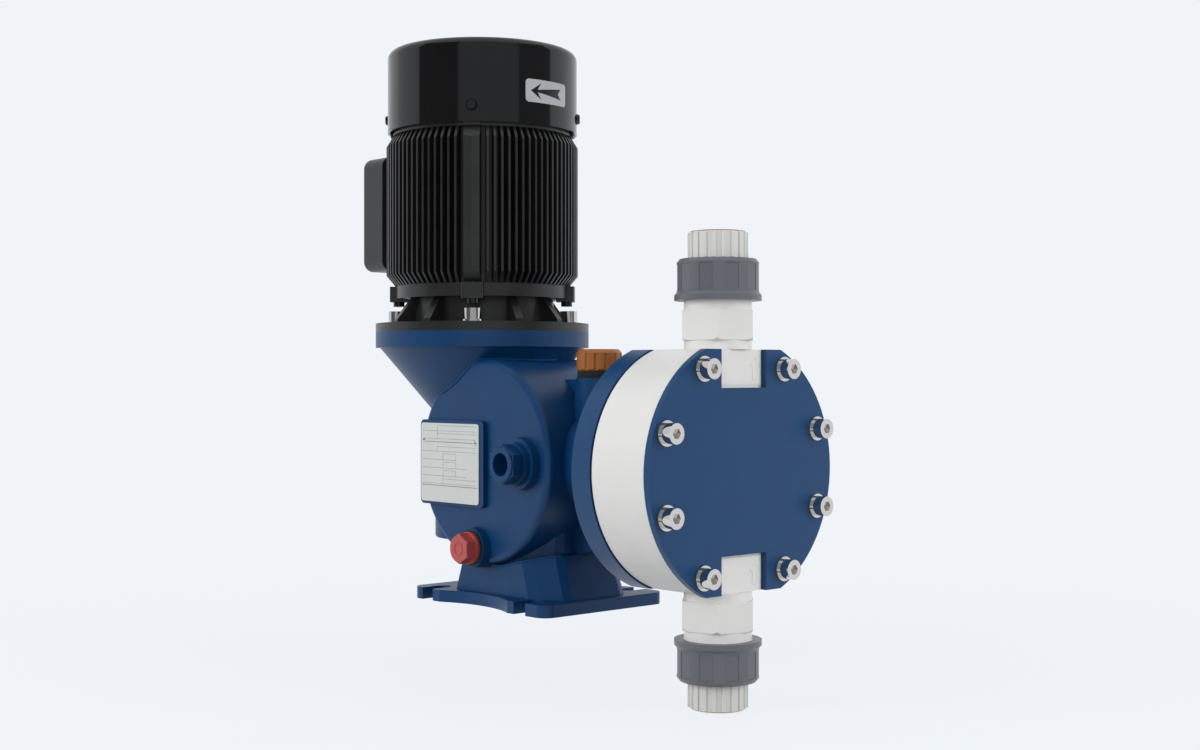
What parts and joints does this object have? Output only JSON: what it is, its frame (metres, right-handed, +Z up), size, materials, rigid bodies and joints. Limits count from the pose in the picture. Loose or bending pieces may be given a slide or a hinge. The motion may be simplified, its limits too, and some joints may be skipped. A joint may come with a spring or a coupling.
{
  "type": "diaphragm metering pump",
  "caption": "Motor-driven diaphragm metering pump with a worm gear casing, vertical motor, round pump head, two union valves and a stroke knob.",
  "frame": {"origin": "centre of the base plate's underside", "axes": "+X to the pump head, +Z up along the motor, -Y the side with the oil drain plug"},
  "size_m": [0.3749, 0.1902, 0.4567],
  "materials": {
    "casing_blue": "satin",
    "motor_black": "satin",
    "black_steel": "gloss",
    "stainless": "polished",
    "steel": "satin",
    "bronze": "satin",
    "pump_white": "satin",
    "nut_grey": "satin",
    "black_rubber": "matte",
    "cap_orange": "satin",
    "plug_red": "satin",
    "ceramic": "gloss",
    "winding": "gloss",
    "knob_black": "satin"
  },
  "bodies": {
    "housing": {"base_plate": "casing_blue", "base_plate_screws": "steel", "gear_casing": "casing_blue", "side_cover": "casing_blue", "side_cover_screws": "stainless", "oil_drain_plug": "plug_red", "drain_plug_washer": "black_rubber", "oil_filler_cap": "cap_orange", "filler_cap_gasket": "black_rubber", "wheel_bearings": "steel", "return_spring": "steel", "guide_bush": "bronze", "diaphragm": "black_rubber", "backing_plate": "casing_blue", "backing_plate_screws": "steel", "head_body": "pump_white", "front_plate": "casing_blue", "head_screws": "stainless", "head_washers": "stainless", "stroke_dial": "stainless", "motor_flange_shield": "motor_black", "motor_flange_bolts": "stainless", "motor_flange_washers": "stainless", "motor_tie_bolts": "black_steel", "stator_frame": "motor_black", "stator_core": "winding", "rear_end_shield": "motor_black", "motor_bearings": "steel", "fan_cover": "black_steel", "fan_cover_screws": "black_steel", "terminal_box": "motor_black", "terminal_box_lid": "motor_black", "terminal_lid_screws": "black_steel", "cable_gland": "knob_black", "discharge_valve_body": "pump_white", "discharge_ball_seat": "pump_white", "discharge_union_seal": "black_rubber", "discharge_union_nut": "nut_grey", "discharge_tail_piece": "pump_white", "discharge_threaded_insert": "bronze", "suction_valve_body": "pump_white", "suction_ball_seat": "pump_white", "suction_union_seal": "black_rubber", "suction_union_nut": "nut_grey", "suction_tail_piece": "pump_white", "suction_threaded_insert": "bronze"},
    "rotor_assembly": {"rotor": "steel", "cooling_fan": "knob_black", "worm": "steel"},
    "wheel_assembly": {"worm_wheel": "bronze", "eccentric_shaft": "steel", "eccentric_bearings": "steel"},
    "plunger": {"pushrod": "steel", "diaphragm_hub": "stainless"},
    "adjuster": {"adjusting_spindle": "steel", "stroke_knob": "knob_black"},
    "discharge_ball_body": {"discharge_ball": "ceramic"},
    "suction_ball_body": {"suction_ball": "ceramic"}
  },
  "joints": [
    {"name": "rotor_spin", "type": "hinge", "parent": "housing", "child": "rotor_assembly", "pos_m": [-0.063, 0, 0.2], "axis": [0, 0, 1], "continuous": true},
    {"name": "wheel_spin", "type": "hinge", "parent": "housing", "child": "wheel_assembly", "pos_m": [-0.021, 0, 0.1025], "axis": [0, 1, 0], "continuous": true},
    {"name": "plunger_stroke", "type": "slide", "parent": "housing", "child": "plunger", "axis": [1, 0, 0], "range_m": [0, 0.006], "stiffness_N_per_m": 1500, "springref_m": -0.005, "deforming": ["return_spring", "diaphragm"]},
    {"name": "stroke_setting", "type": "hinge", "parent": "housing", "child": "adjuster", "pos_m": [0.0405, 0, 0.1025], "axis": [0, 1, 0], "range_deg": [0, 270]},
    {"name": "discharge_ball_lift", "type": "slide", "parent": "housing", "child": "discharge_ball_body", "axis": [0, 0, 1], "range_m": [0, 0.004]},
    {"name": "suction_ball_lift", "type": "slide", "parent": "housing", "child": "suction_ball_body", "axis": [0, 0, 1], "range_m": [0, 0.004]}
  ],
  "couplings": [
    {"joint": "wheel_spin", "follows": "rotor_spin", "ratio": -0.066667}
  ]
}
